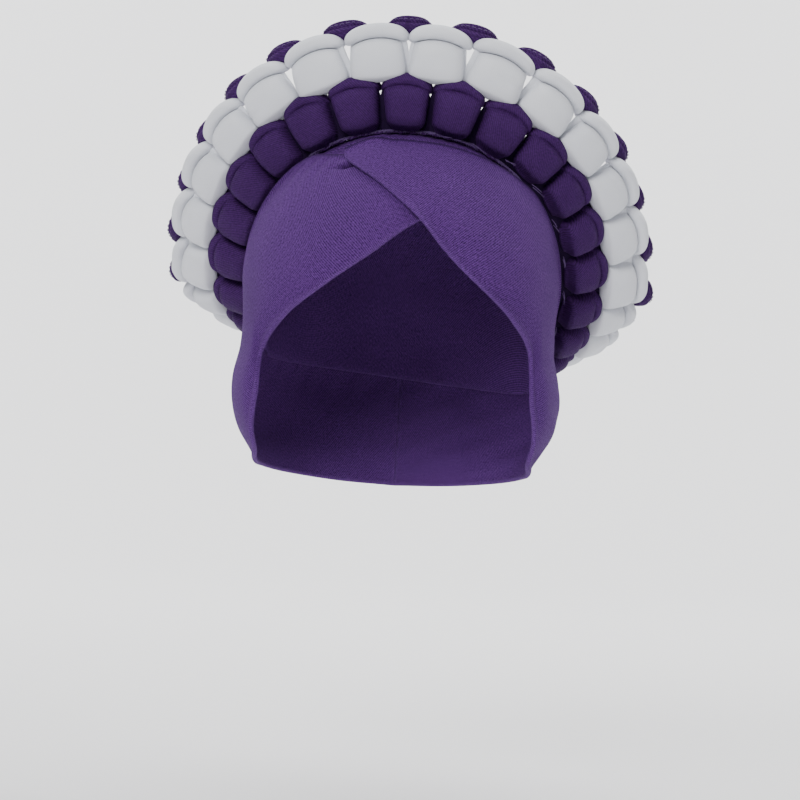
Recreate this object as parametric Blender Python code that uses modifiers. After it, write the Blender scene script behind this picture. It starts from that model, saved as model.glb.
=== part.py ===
# Ready-made gele head tie: a stretch cap with two crossed front wraps and a braided halo.
# The halo is an inner row of purple padded loops, a middle row of white ones laid like
# bricks over them, and a purple strand woven round the outer edge.
# Metres, +Z up, the face opening looks along -Y. The origin is the top of the hollow,
# where the crown of the cap rests on a head.
import math

import bmesh
import bpy
import numpy as np

# Cloth and sewing
CLOTH = 0.0016                 # doubled knit of the cap and the wraps
TAPE_THICKNESS = 0.0010        # stitched tape that carries the loops
TAPE_WIDTH = 0.011
CLEARANCE = 0.0003             # between two pieces that touch

# Cap, measured on its outer side
CAP_HALF_WIDTH = 0.078
CAP_FRONT = 0.094              # brow, ahead of the line over the ears
CAP_BACK = 0.090               # back of the head, behind the line over the ears
CAP_CENTRE = 0.008             # line over the ears, behind the origin
DOME_HEIGHT = 0.083            # crown down to the widest level
CAP_DROP = 0.171               # crown down to the hem under the ears
BROW_LAP = 0.030               # crown cloth below the ring line at the front, under the wraps
NAPE_LAP = 0.013               # and at the back

# Halo
RING_TILT = math.radians(38.0)  # ring plane, leaning back from upright to the front
RING_ROLL = math.radians(3.0)   # the halo sits lower on the right of the face
RING_BACK_ROLL = math.radians(6.0)  # and more so round the back of the head
RING_BACK = 0.034              # middle of the ring behind the origin
RING_DROP = 0.092              # middle of the ring below the crown
NAPE_RING_DROP = 0.116         # the ring runs level round the back at this depth below the crown
RING_BEND = 0.008              # softness of the turn from the slant to the level part
RING_TURN = -0.10              # first inner loop beside the middle, as a share of a loop
LOOPS_PER_ROW = 25
INNER_LOOP_LENGTH = 0.0284
MIDDLE_LOOP_LENGTH = 0.0281
LOOP_OVERLAP = 0.0032          # middle loops reach down between the inner ones
LOOP_DEPTH = 0.0140
LOOP_END_ROUNDING = 0.0006      # the sewn end of a loop rounds off inside its cage
STRAND_RADIUS = 0.0047         # fat part of the edge strand, between two middle loops
STRAND_SINK = 0.0020           # middle of the strand below the tops of the middle loops
SIDE_LOOP_SHARE = 1.00         # length of the loops at the sides, next to those at the front
BACK_LOOP_SHARE = 0.92         # and at the nape
LEAN_FRONT = math.radians(14.0)  # loops lean from the cap's normal to the crown
LEAN_SIDE = math.radians(24.0)
LEAN_BACK = math.radians(12.0)

DOME_POWER = 2.00              # fullness of the dome seen from the front
SECTION_POWER = 2.2            # fullness of a level section

# Sides of the cap below the dome, as shares of CAP_DROP, CAP_HALF_WIDTH, CAP_FRONT, CAP_BACK
# drop, half width, front, back
SIDE_LEVELS = (
    (0.602, 0.985, 0.990, 1.010),
    (0.690, 0.995, 0.970, 1.000),
    (0.778, 1.035, 0.940, 0.957),
    (0.854, 1.030, 0.910, 0.891),
    (0.924, 0.985, 0.880, 0.826),
    (1.000, 0.885, 0.850, 0.761),
    (1.100, 0.790, 0.820, 0.710),
)

# Wraps, front to back: turn in degrees from the front, negative on the left of the face;
# depths below the ring plane and below the crown, as shares of CAP_DROP; lift over the other wrap
# top turn, below ring, edge turn, edge drop, lift
UNDER_WRAP = (
    (44.0, 0.100, 39.0, 0.200, 0.0),
    (24.0, 0.120, 21.0, 0.260, 0.0),
    (5.0, 0.120, 5.4, 0.314, 0.0),
    (-12.0, 0.135, -9.1, 0.418, 0.0),
    (-26.0, 0.160, -24.0, 0.515, 0.0),
    (-46.0, 0.085, -39.0, 0.600, 0.0),
    (-62.0, 0.050, -52.0, 0.695, 0.0),
    (-74.0, 0.050, -53.0, 0.810, 0.0),
    (-88.0, 0.050, -61.0, 0.965, 0.0),
    (-106.0, 0.050, -80.0, 1.015, 0.0),
    (-124.0, 0.050, -105.0, 1.035, 0.0),
    (-142.0, 0.050, -131.0, 1.058, 0.0),
    (-161.0, 0.050, -156.0, 1.077, 0.0),
    (-180.0, 0.050, -180.0, 1.085, 0.0),
)
OVER_WRAP = (
    (-25.8, 0.152, -24.4, 0.158, 1.0),
    (-17.5, 0.121, -15.4, 0.192, 1.0),
    (-5.4, 0.098, -6.8, 0.232, 1.0),
    (10.7, 0.094, 5.4, 0.314, 1.0),
    (30.7, 0.090, 20.0, 0.450, 1.0),
    (50.0, 0.070, 39.4, 0.580, 1.0),
    (64.0, 0.050, 51.2, 0.671, 0.7),
    (76.0, 0.050, 53.5, 0.810, 0.3),
    (88.0, 0.050, 64.0, 0.975, 0.0),
    (106.0, 0.050, 82.0, 1.015, 0.0),
    (124.0, 0.050, 106.0, 1.035, 0.0),
    (142.0, 0.050, 131.0, 1.058, 0.0),
    (161.0, 0.050, 156.0, 1.077, 0.0),
    (180.0, 0.050, 180.0, 1.085, 0.0),
)
WRAP_COLUMNS = 20
WRAP_ROWS = 7
CROWN_COLUMNS = 26
CROWN_ROWS = 8
CROWN_SPREAD = 1.6             # rows of the crown lie closer together near its top
RING_SAMPLES = 360
TAPE_COLUMNS = 52
BISECTION_STEPS = 40
TURN_STEP = 0.5                # degrees, for the slope of the cap's surface
DROP_STEP = 0.0008

# A padded loop from its sewn end to its top: a full body, a crease, and a collar behind it,
# as shares of the loop's length, of the space between two loops and of LOOP_DEPTH
# length, half width, front, back
INNER_LOOP = (
    (0.00, 0.440, 0.36, 0.30),
    (0.36, 0.500, 0.62, 0.40),
    (0.72, 0.470, 0.50, 0.38),
    (0.86, 0.540, 0.30, 0.50),
    (1.00, 0.280, 0.10, 0.24),
)
MIDDLE_LOOP = (
    (0.00, 0.180, 0.14, 0.12),
    (0.22, 0.490, 0.60, 0.40),
    (0.62, 0.480, 0.54, 0.38),
    (0.80, 0.545, 0.30, 0.36),
    (1.00, 0.240, 0.08, 0.16),
)

# Edge strand over one loop space, from the middle of a fat part to the middle of the next:
# place along the ring, radius as a share of STRAND_RADIUS, place above its line and behind
# the loops as shares of STRAND_RADIUS
# place, radius, above, behind
STRAND_WAVE = (
    (0.00, 1.00, 0.05, 0.75),
    (0.20, 0.74, 0.20, 1.65),
    (0.40, 0.52, -0.05, 2.00),
    (0.60, 0.52, -0.05, 2.00),
    (0.80, 0.74, 0.20, 1.65),
)

RING_AXIS = np.array([
    math.sin(RING_TILT) * math.sin(RING_ROLL),
    math.cos(RING_TILT),
    math.sin(RING_TILT) * math.cos(RING_ROLL),
])
RING_MIDDLE = np.array([0.0, RING_BACK, CLOTH - RING_DROP])


# Cap surface

def smooth_row(rows, key):
    """Values of a table at a place along its first column, without corners at its rows."""
    places = [row[0] for row in rows]
    key = min(max(key, places[0]), places[-1])
    last = len(rows) - 2
    index = min(max(sum(1 for place in places if place <= key) - 1, 0), last)
    low, high = rows[index], rows[index + 1]
    before = rows[max(index - 1, 0)]
    after = rows[min(index + 2, last + 1)]
    span = high[0] - low[0]
    share = (key - low[0]) / span
    values = []
    for column in range(1, len(low)):
        slope_low = (high[column] - before[column]) / (high[0] - before[0]) * span
        slope_high = (after[column] - low[column]) / (after[0] - low[0]) * span
        values.append(
            (2 * share**3 - 3 * share**2 + 1) * low[column]
            + (share**3 - 2 * share**2 + share) * slope_low
            + (3 * share**2 - 2 * share**3) * high[column]
            + (share**3 - share**2) * slope_high
        )
    return values


def cap_section(drop):
    """Half width, front and back of the cap at a depth below its crown."""
    if drop < DOME_HEIGHT:
        rise = 1.0 - drop / DOME_HEIGHT
        share = (1.0 - rise**DOME_POWER) ** (1.0 / DOME_POWER)
        return CAP_HALF_WIDTH * share, CAP_FRONT * share, CAP_BACK * share
    widest = (DOME_HEIGHT / CAP_DROP, 1.0, 1.0, 1.0)
    half_width, front, back = smooth_row((widest,) + SIDE_LEVELS, drop / CAP_DROP)
    return CAP_HALF_WIDTH * half_width, CAP_FRONT * front, CAP_BACK * back


def cap_place(turn, drop):
    """Point of the cap's outer side at a turn in degrees from the front and a drop."""
    half_width, front, back = cap_section(max(drop, 1e-7))
    angle = math.radians(turn)
    across, along = math.sin(angle), -math.cos(angle)
    length = front if along < 0.0 else back
    radius = (abs(across / half_width) ** SECTION_POWER
              + abs(along / length) ** SECTION_POWER) ** (-1.0 / SECTION_POWER)
    return np.array([radius * across, CAP_CENTRE + radius * along, CLOTH - drop])


def cap_normal(turn, drop):
    around = cap_place(turn + TURN_STEP, drop) - cap_place(turn - TURN_STEP, drop)
    down = cap_place(turn, drop + DROP_STEP) - cap_place(turn, max(drop - DROP_STEP, 0.0))
    normal = np.cross(down, around)
    return normal / np.linalg.norm(normal)


def cap_point(turn, drop, lift):
    return cap_place(turn, drop) + lift * cap_normal(turn, drop)


def sag(span):
    """How far a flat facet of this span cuts under the round of the cap."""
    return span**2 / (5.0 * CAP_HALF_WIDTH)


GIRTH = math.tau * CAP_FRONT
TAPE_LIFT = CLEARANCE + sag(GIRTH / TAPE_COLUMNS) + sag(TAPE_WIDTH)
WRAP_LIFT = CLEARANCE + sag(CAP_DROP / WRAP_ROWS)
LOOP_SEAT = TAPE_LIFT + TAPE_THICKNESS + CLEARANCE - LOOP_END_ROUNDING


def ring_drop(turn, above=0.0):
    """Drop of a line that runs a distance above the ring: slanted over the front, level behind."""
    high, low = 0.0, CAP_DROP * SIDE_LEVELS[-1][0]
    for _ in range(BISECTION_STEPS):
        middle = (high + low) / 2.0
        if (cap_place(turn, middle) - RING_MIDDLE) @ RING_AXIS > above:
            high = middle
        else:
            low = middle
    across = CAP_HALF_WIDTH * math.sin(math.radians(turn))
    level = NAPE_RING_DROP - above + across * math.tan(RING_BACK_ROLL)
    return -RING_BEND * math.log(math.exp(-low / RING_BEND) + math.exp(-level / RING_BEND))


# Ring on which the loops stand

def ring_line():
    """Closed line round the cap, on the tape: shares of its length, its points and normals."""
    turns = np.linspace(0.0, 360.0, RING_SAMPLES + 1)
    drops = [ring_drop(turn) for turn in turns]
    normals = np.array([cap_normal(turn, drop) for turn, drop in zip(turns, drops)])
    points = np.array([cap_place(turn, drop) for turn, drop in zip(turns, drops)])
    points += LOOP_SEAT * normals
    steps = np.linalg.norm(np.diff(points, axis=0), axis=1)
    shares = np.concatenate([[0.0], np.cumsum(steps)]) / steps.sum()
    return shares, points, normals


RING_SHARES, RING_POINTS, RING_NORMALS = ring_line()


def along_ring(values, share):
    return np.array([np.interp(share % 1.0, RING_SHARES, values[:, axis]) for axis in range(3)])


def halo_frame(share):
    """Foot, outward direction, facing direction and length share of the halo at a ring share."""
    step = 2.0 / RING_SAMPLES
    foot = along_ring(RING_POINTS, share)
    normal = along_ring(RING_NORMALS, share)
    along = along_ring(RING_POINTS, share + step) - along_ring(RING_POINTS, share - step)
    crownward = np.cross(along, normal)
    crownward /= np.linalg.norm(crownward)
    if crownward @ RING_AXIS < 0.0:
        crownward = -crownward
    front = math.cos(math.tau * share)
    end_lean, end_length = (LEAN_FRONT, 1.0) if front > 0.0 else (LEAN_BACK, BACK_LOOP_SHARE)
    lean = end_lean * front**2 + LEAN_SIDE * (1.0 - front**2)
    length_share = end_length * front**2 + SIDE_LOOP_SHARE * (1.0 - front**2)
    direction = math.cos(lean) * normal + math.sin(lean) * crownward
    facing = math.sin(lean) * normal - math.cos(lean) * crownward
    return foot, direction, facing, length_share


def halo_point(share, out, forward):
    """Point of the halo: share of the ring, distance out from the tape, distance to its face."""
    foot, direction, facing, length_share = halo_frame(share)
    return foot + out * length_share * direction + forward * facing


# Meshes and objects

def clear_scene():
    for item in list(bpy.data.objects):
        bpy.data.objects.remove(item, do_unlink=True)


def make_material(name, colour, roughness):
    material = bpy.data.materials.new(name)
    material.use_nodes = True
    shader = material.node_tree.nodes["Principled BSDF"]
    shader.inputs["Base Color"].default_value = (*colour, 1.0)
    shader.inputs["Roughness"].default_value = roughness
    shader.inputs["Metallic"].default_value = 0.0
    return material


def grid_mesh(name, points, closed_across=False, pole=None):
    """Open surface through rows of points, closed to a ring or to a pole where asked."""
    shape = bmesh.new()
    rows = [[shape.verts.new(point) for point in row] for row in points]
    columns = len(rows[0])
    spans = columns if closed_across else columns - 1
    for upper, lower in zip(rows, rows[1:]):
        for column in range(spans):
            right = (column + 1) % columns
            shape.faces.new((upper[column], lower[column], lower[right], upper[right]))
    if pole is not None:
        top = shape.verts.new(pole)
        for column in range(spans):
            shape.faces.new((top, rows[0][column], rows[0][(column + 1) % columns]))
    return finish_mesh(name, shape)


def finish_mesh(name, shape):
    mesh = bpy.data.meshes.new(name)
    shape.to_mesh(mesh)
    shape.free()
    mesh.shade_smooth()
    return mesh


def place(name, mesh, material, collection):
    item = bpy.data.objects.new(name, mesh)
    item.data.materials.append(material)
    collection.objects.link(item)
    return item


def thicken(item, thickness, side):
    solid = item.modifiers.new("cloth", "SOLIDIFY")
    solid.thickness = thickness
    solid.offset = side
    solid.use_even_offset = True


# Pieces

def build_crown(material, collection):
    """Dome of the cap, from its crown down to a lap under the wraps."""
    turns = [360.0 * column / CROWN_COLUMNS for column in range(CROWN_COLUMNS)]
    fronts = [max(math.cos(math.radians(turn)), 0.0) for turn in turns]
    laps = [NAPE_LAP + (BROW_LAP - NAPE_LAP) * front for front in fronts]
    bottoms = [ring_drop(turn, -lap) for turn, lap in zip(turns, laps)]
    rows = []
    for row in range(1, CROWN_ROWS + 1):
        share = (row / CROWN_ROWS) ** CROWN_SPREAD
        rows.append([cap_place(turn, bottom * share) for turn, bottom in zip(turns, bottoms)])
    mesh = grid_mesh("cap_crown", rows, closed_across=True, pole=(0.0, CAP_CENTRE, CLOTH))
    item = place("cap_crown", mesh, material, collection)
    thicken(item, CLOTH, -1.0)


def build_wrap(name, table, material, collection):
    """Front wrap from its crossing over the forehead to the seam at the middle of the back."""
    stations = tuple((float(index),) + row for index, row in enumerate(table))
    seam_turn = 180.0 - math.degrees(CLEARANCE / CAP_BACK)
    lift_step = CLOTH + WRAP_LIFT
    columns = []
    for column in range(WRAP_COLUMNS + 1):
        place_along = column / WRAP_COLUMNS * (len(stations) - 1)
        top_turn, below_ring, edge_turn, edge_drop, lift = smooth_row(stations, place_along)
        top_turn = max(-seam_turn, min(seam_turn, top_turn))
        edge_turn = max(-seam_turn, min(seam_turn, edge_turn))
        top_drop = ring_drop(top_turn, -below_ring * CAP_DROP)
        bottom_drop = edge_drop * CAP_DROP
        points = []
        for row in range(WRAP_ROWS + 1):
            share = row / WRAP_ROWS
            turn = top_turn + (edge_turn - top_turn) * share
            drop = top_drop + (bottom_drop - top_drop) * share
            points.append(cap_point(turn, drop, WRAP_LIFT + lift * lift_step))
        columns.append(points)
    if table[-1][0] < 0.0:
        columns.reverse()
    rows = [[points[row] for points in columns] for row in range(WRAP_ROWS + 1)]
    item = place(name, grid_mesh(name, rows), material, collection)
    thicken(item, CLOTH, 1.0)


def build_tape(material, collection):
    """Stitched tape round the cap, to which the loops are sewn."""
    turns = [360.0 * column / TAPE_COLUMNS for column in range(TAPE_COLUMNS)]
    rows = []
    for above_plane in (TAPE_WIDTH / 2.0, -TAPE_WIDTH / 2.0):
        rows.append([cap_point(turn, ring_drop(turn, above_plane), TAPE_LIFT) for turn in turns])
    mesh = grid_mesh("halo_tape", rows, closed_across=True)
    item = place("halo_tape", mesh, material, collection)
    thicken(item, TAPE_THICKNESS, 1.0)


def build_loop(name, table, middle, start, length, material, collection):
    """One padded loop of a row: a coarse cage, rounded by subdivision."""
    shape = bmesh.new()
    rings = []
    for length_share, half_width, front, back in table:
        out = start + length * length_share
        corners = ((-half_width, front), (half_width, front), (half_width, -back), (-half_width, -back))
        ring = []
        for across, depth in corners:
            share = middle + across / LOOPS_PER_ROW
            ring.append(shape.verts.new(halo_point(share, out, depth * LOOP_DEPTH)))
        rings.append(ring)
    for lower, upper in zip(rings, rings[1:]):
        for corner in range(4):
            following = (corner + 1) % 4
            shape.faces.new((lower[corner], lower[following], upper[following], upper[corner]))
    shape.faces.new(rings[0])
    shape.faces.new(rings[-1])
    bmesh.ops.recalc_face_normals(shape, faces=shape.faces)
    item = place(name, finish_mesh(name, shape), material, collection)
    rounding = item.modifiers.new("padding", "SUBSURF")
    rounding.levels = 1
    rounding.render_levels = 1


def build_loop_rows(inner_material, middle_material, collection):
    middle_start = INNER_LOOP_LENGTH - LOOP_OVERLAP
    for index in range(LOOPS_PER_ROW):
        inner_middle = (index + RING_TURN) / LOOPS_PER_ROW
        build_loop("inner_loop_%02d" % (index + 1), INNER_LOOP, inner_middle,
                   0.0, INNER_LOOP_LENGTH, inner_material, collection)
        build_loop("middle_loop_%02d" % (index + 1), MIDDLE_LOOP, inner_middle + 0.5 / LOOPS_PER_ROW,
                   middle_start, MIDDLE_LOOP_LENGTH, middle_material, collection)


def build_edge_strand(material, collection):
    """Strand that runs behind the tops of the middle loops and fills out between them."""
    line = INNER_LOOP_LENGTH - LOOP_OVERLAP + MIDDLE_LOOP_LENGTH - STRAND_SINK
    curve = bpy.data.curves.new("edge_strand", "CURVE")
    curve.dimensions = "3D"
    curve.bevel_depth = STRAND_RADIUS
    curve.bevel_resolution = 1
    spline = curve.splines.new("POLY")
    spline.points.add(LOOPS_PER_ROW * len(STRAND_WAVE) - 1)
    number = 0
    for index in range(LOOPS_PER_ROW):
        for place_along, radius, above, behind in STRAND_WAVE:
            share = (index + RING_TURN + place_along) / LOOPS_PER_ROW
            point = halo_point(share, line + above * STRAND_RADIUS, -behind * STRAND_RADIUS)
            spline.points[number].co = (*point, 1.0)
            spline.points[number].radius = radius
            number += 1
    spline.use_cyclic_u = True
    place("edge_strand", curve, material, collection)


def main():
    clear_scene()
    collection = bpy.data.collections.new("gele_head_tie")
    bpy.context.scene.collection.children.link(collection)
    cap_knit = make_material("cap_knit", (0.105, 0.050, 0.262), 0.78)
    purple_knit = make_material("purple_loop_knit", (0.045, 0.016, 0.117), 0.72)
    white_knit = make_material("white_loop_knit", (0.62, 0.63, 0.65), 0.70)
    tape_cloth = make_material("tape_cloth", (0.030, 0.012, 0.075), 0.85)
    build_crown(cap_knit, collection)
    build_wrap("wrap_under", UNDER_WRAP, cap_knit, collection)
    build_wrap("wrap_over", OVER_WRAP, cap_knit, collection)
    build_tape(tape_cloth, collection)
    build_loop_rows(purple_knit, white_knit, collection)
    build_edge_strand(purple_knit, collection)


main()
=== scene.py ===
import math

import bmesh
import bpy
import numpy as np
from mathutils import Matrix


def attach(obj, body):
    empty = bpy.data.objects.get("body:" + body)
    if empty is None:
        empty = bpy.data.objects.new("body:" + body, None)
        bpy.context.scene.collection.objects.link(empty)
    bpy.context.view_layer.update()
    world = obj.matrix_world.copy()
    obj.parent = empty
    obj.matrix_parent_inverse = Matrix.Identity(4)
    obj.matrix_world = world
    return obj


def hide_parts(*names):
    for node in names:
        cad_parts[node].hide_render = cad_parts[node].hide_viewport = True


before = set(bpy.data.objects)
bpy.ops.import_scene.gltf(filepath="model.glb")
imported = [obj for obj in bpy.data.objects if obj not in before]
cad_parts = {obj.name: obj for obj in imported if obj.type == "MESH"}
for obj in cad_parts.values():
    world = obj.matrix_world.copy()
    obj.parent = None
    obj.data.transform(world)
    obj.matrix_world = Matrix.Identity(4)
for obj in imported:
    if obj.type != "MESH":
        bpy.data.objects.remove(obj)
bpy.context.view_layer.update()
print("frame loaded", len(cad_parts))


# Cap surface: the same head shape as the solids

capSizes = {
    "cloth": 0.0016,
    "halfWidth": 0.078,
    "front": 0.094,
    "back": 0.09,
    "centre": 0.008,
    "domeHeight": 0.083,
    "drop": 0.171,
    "browLap": 0.03,
    "napeLap": 0.013,
    "domePower": 2.0,
    "sectionPower": 2.2,
    "sideShift": 0.0013,  # to the viewer's left, between these two drops
    "shiftDrops": (0.02, 0.075),
}
# drop, half width, front, back as shares of the sizes above
sideLevels = (
    (0.602, 0.985, 0.99, 1.01),
    (0.69, 0.995, 0.97, 1.0),
    (0.778, 1.035, 0.94, 0.957),
    (0.854, 1.03, 0.91, 0.891),
    (0.924, 0.985, 0.88, 0.826),
    (1.0, 0.885, 0.85, 0.761),
    (1.1, 0.79, 0.82, 0.71),
)
ringSizes = {
    "tilt": math.radians(38.0),
    "roll": math.radians(3.0),  # of the front part, down to the viewer's right
    "backRoll": math.radians(6.0),
    "back": 0.034,
    "drop": 0.092,
    "napeDrop": 0.116,
    "bend": 0.008,
    "turn": -0.1,
    "loops": 25,
    "innerLength": 0.0284,
    "middleLength": 0.0281,
    "overlap": 0.0032,
    "depth": 0.014,
    "seat": 0.0022,
    "sideShare": 1.0,
    "backShare": 0.92,
    "leanFront": math.radians(14.0),
    "leanSide": math.radians(24.0),
    "leanBack": math.radians(12.0),
    "halvings": 34,  # of the search for the ring on the cap
    "probe": 0.006,  # share to both sides, for the ring's direction
}


# Soft step from 0 to 1 between two values, either way round
def ease(low, high, value):
    share = np.clip((value - low) / (high - low), 0.0, 1.0)
    return share * share * (3.0 - 2.0 * share)


# Rows of a table at places along its first column, rounded at the given rows
def sampleTable(rows, keys):
    table = np.array(rows)
    last = len(table) - 1
    keys = np.clip(keys, table[0, 0], table[last, 0])
    index = np.clip(np.searchsorted(table[:, 0], keys, "right") - 1, 0, last - 1)
    low, high = table[index], table[index + 1]
    before, after = table[np.maximum(index - 1, 0)], table[np.minimum(index + 2, last)]
    span = high[:, :1] - low[:, :1]
    share = (keys[:, None] - low[:, :1]) / span
    slopeLow = (high - before) / (high[:, :1] - before[:, :1]) * span
    slopeHigh = (after - low) / (after[:, :1] - low[:, :1]) * span
    values = ((2 * share**3 - 3 * share**2 + 1) * low
              + (share**3 - 2 * share**2 + share) * slopeLow
              + (3 * share**2 - 2 * share**3) * high
              + (share**3 - share**2) * slopeHigh)
    return values[:, 1:]


# Columns of a table, its rows spread evenly over some places
def spreadTable(rows, count):
    stations = [(float(index), *row) for index, row in enumerate(rows)]
    return sampleTable(stations, np.linspace(0.0, len(rows) - 1.0, count)).T


widestLevel = (capSizes["domeHeight"] / capSizes["drop"], 1.0, 1.0, 1.0)
lowestLevel = sideLevels[-1][0]
levelKeys = np.linspace(widestLevel[0], lowestLevel, 240)
levelValues = sampleTable((widestLevel,) + sideLevels, levelKeys)


# Points of the cap's outer side, for arrays of turns in degrees and of drops
def capPlace(turn, drop):
    turn, drop = np.broadcast_arrays(turn, drop)
    safeDrop = np.maximum(drop, 1e-7)
    rise = np.clip(1.0 - safeDrop / capSizes["domeHeight"], 0.0, 1.0)
    dome = (1.0 - rise ** capSizes["domePower"]) ** (1.0 / capSizes["domePower"])
    key = safeDrop / capSizes["drop"]
    shares = [np.where(key < widestLevel[0], dome, np.interp(key, levelKeys, levelValues[:, axis]))
              for axis in range(3)]
    angle = np.radians(turn)
    across, along = np.sin(angle), -np.cos(angle)
    halfWidth = capSizes["halfWidth"] * shares[0]
    length = np.where(along < 0.0, capSizes["front"] * shares[1], capSizes["back"] * shares[2])
    power = capSizes["sectionPower"]
    radius = (np.abs(across / halfWidth) ** power + np.abs(along / length) ** power) ** (-1.0 / power)
    return np.stack([radius * across, capSizes["centre"] + radius * along,
                     capSizes["cloth"] - drop], axis=-1)


# The cap sits a little to the left of the halo's middle, more so over the ears
def capShift(points, drop):
    points = points.copy()
    points[..., 0] -= capSizes["sideShift"] * ease(*capSizes["shiftDrops"], drop)
    return points


# Soft hill of height 1 at zero
def bell(value, width):
    return np.exp(-(value / width) ** 2)


# Distance along rows of points, from the first row
def runLength(points):
    steps = np.linalg.norm(np.diff(points, axis=0), axis=-1)
    return np.concatenate([np.zeros((1,) + steps.shape[1:]), np.cumsum(steps, axis=0)])


def unit(vectors):
    return vectors / np.maximum(np.linalg.norm(vectors, axis=-1, keepdims=True), 1e-12)


def capNormal(turn, drop):
    around = capPlace(turn + 0.5, drop) - capPlace(turn - 0.5, drop)
    down = capPlace(turn, drop + 0.0008) - capPlace(turn, np.maximum(drop - 0.0008, 0.0))
    return unit(np.cross(down, around))


tilt, roll = ringSizes["tilt"], ringSizes["roll"]
ringAxis = np.array([math.sin(tilt) * math.sin(roll), math.cos(tilt), math.sin(tilt) * math.cos(roll)])
ringMiddle = np.array([0.0, ringSizes["back"], capSizes["cloth"] - ringSizes["drop"]])


# Drop of a line a distance above the ring: slanted over the front, level behind
def ringDrop(turn, above=0.0):
    turn, above = np.broadcast_arrays(turn, above)
    high = np.zeros(turn.shape)
    low = np.full(turn.shape, capSizes["drop"] * lowestLevel)
    for _ in range(ringSizes["halvings"]):
        middle = (high + low) / 2.0
        over = (capPlace(turn, middle) - ringMiddle) @ ringAxis > above
        high = np.where(over, middle, high)
        low = np.where(over, low, middle)
    across = capSizes["halfWidth"] * np.sin(np.radians(turn))
    level = ringSizes["napeDrop"] - above + across * math.tan(ringSizes["backRoll"])
    bend = ringSizes["bend"]
    return -bend * np.log(np.exp(-low / bend) + np.exp(-level / bend))


# Points at a height over the cap as it is drawn
def overCap(turn, drop, height):
    return capShift(capPlace(turn, drop), drop) + height[..., None] * capNormal(turn, drop)


# Halo coordinates: share of the ring, distance out from the tape, distance to its face

ringTurns = np.linspace(0.0, 360.0, 721)
ringNormals = capNormal(ringTurns, ringDrop(ringTurns))
ringPoints = capPlace(ringTurns, ringDrop(ringTurns)) + ringSizes["seat"] * ringNormals
ringSteps = np.linalg.norm(np.diff(ringPoints, axis=0), axis=1)
ringShares = np.concatenate([[0.0], np.cumsum(ringSteps)]) / ringSteps.sum()
ringLength = ringSteps.sum()


def alongRing(values, share):
    share = np.mod(share, 1.0)
    return np.stack([np.interp(share, ringShares, values[:, axis]) for axis in range(3)], axis=-1)


def haloFrame(share):
    foot = alongRing(ringPoints, share)
    normal = unit(alongRing(ringNormals, share))
    probe = ringSizes["probe"]
    along = alongRing(ringPoints, share + probe) - alongRing(ringPoints, share - probe)
    crownward = unit(np.cross(along, normal))
    crownward = np.where((crownward @ ringAxis)[..., None] < 0.0, -crownward, crownward)
    front = np.cos(math.tau * share)
    end = front**2
    endLean = np.where(front > 0.0, ringSizes["leanFront"], ringSizes["leanBack"])
    endLength = np.where(front > 0.0, 1.0, ringSizes["backShare"])
    lean = endLean * end + ringSizes["leanSide"] * (1.0 - end)
    lengthShare = endLength * end + ringSizes["sideShare"] * (1.0 - end)
    cosine, sine = np.cos(lean)[..., None], np.sin(lean)[..., None]
    return foot, cosine * normal + sine * crownward, sine * normal - cosine * crownward, lengthShare


def haloPoint(share, out, forward):
    share, out, forward = np.broadcast_arrays(share, out, forward)
    foot, direction, facing, lengthShare = haloFrame(share)
    return foot + (out * lengthShare)[..., None] * direction + forward[..., None] * facing


# Mesh helpers

# Soft unevenness from a few crossing waves, between about -1 and 1
def ripple(u, v, seed, count=5):
    dice = np.random.default_rng(seed)
    total = np.zeros(np.broadcast(u, v).shape)
    for _ in range(count):
        turn, phase, scale = dice.uniform(0.0, math.tau, 3)
        pace = 0.6 + scale / 5.0
        total += np.sin(pace * (math.cos(turn) * u + math.sin(turn) * v) + phase)
    return total / count**0.5


def addObject(name, data):
    item = bpy.data.objects.new(name, data)
    bpy.context.scene.collection.objects.link(item)
    return item


# Smooth mesh; a closed one gets its faces turned outward
def makeMesh(name, points, faces, material, uvs=None, paintedShade=None, closed=True):
    mesh = bpy.data.meshes.new(name)
    mesh.from_pydata(points.reshape(-1, 3).tolist(), [], faces)
    mesh.shade_smooth()
    mesh.materials.append(material)
    if uvs is not None:
        layer = mesh.uv_layers.new(name="clothUv")
        loops = np.empty(len(mesh.loops), dtype=np.int32)
        mesh.loops.foreach_get("vertex_index", loops)
        layer.data.foreach_set("uv", uvs.reshape(-1, 2)[loops].astype(np.float32).ravel())
    # painted shade per point, kept as the foldShade attribute
    if paintedShade is not None:
        mask = mesh.attributes.new("foldShade", "FLOAT", "POINT")
        mask.data.foreach_set("value", paintedShade.astype(np.float32).ravel())
    if closed:
        shape = bmesh.new()
        shape.from_mesh(mesh)
        bmesh.ops.recalc_face_normals(shape, faces=shape.faces)
        shape.to_mesh(mesh)
        shape.free()
    return addObject(name, mesh)


# Quads of a grid of points, numbered row by row
def gridFaces(rows, columns, closedAcross, start=0, closedDown=False):
    faces = []
    for row in range(rows if closedDown else rows - 1):
        base = start + row * columns
        below = start + (row + 1) % rows * columns
        for column in range(columns if closedAcross else columns - 1):
            right = (column + 1) % columns
            faces.append((base + column, below + column, below + right, base + right))
    return faces
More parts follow.
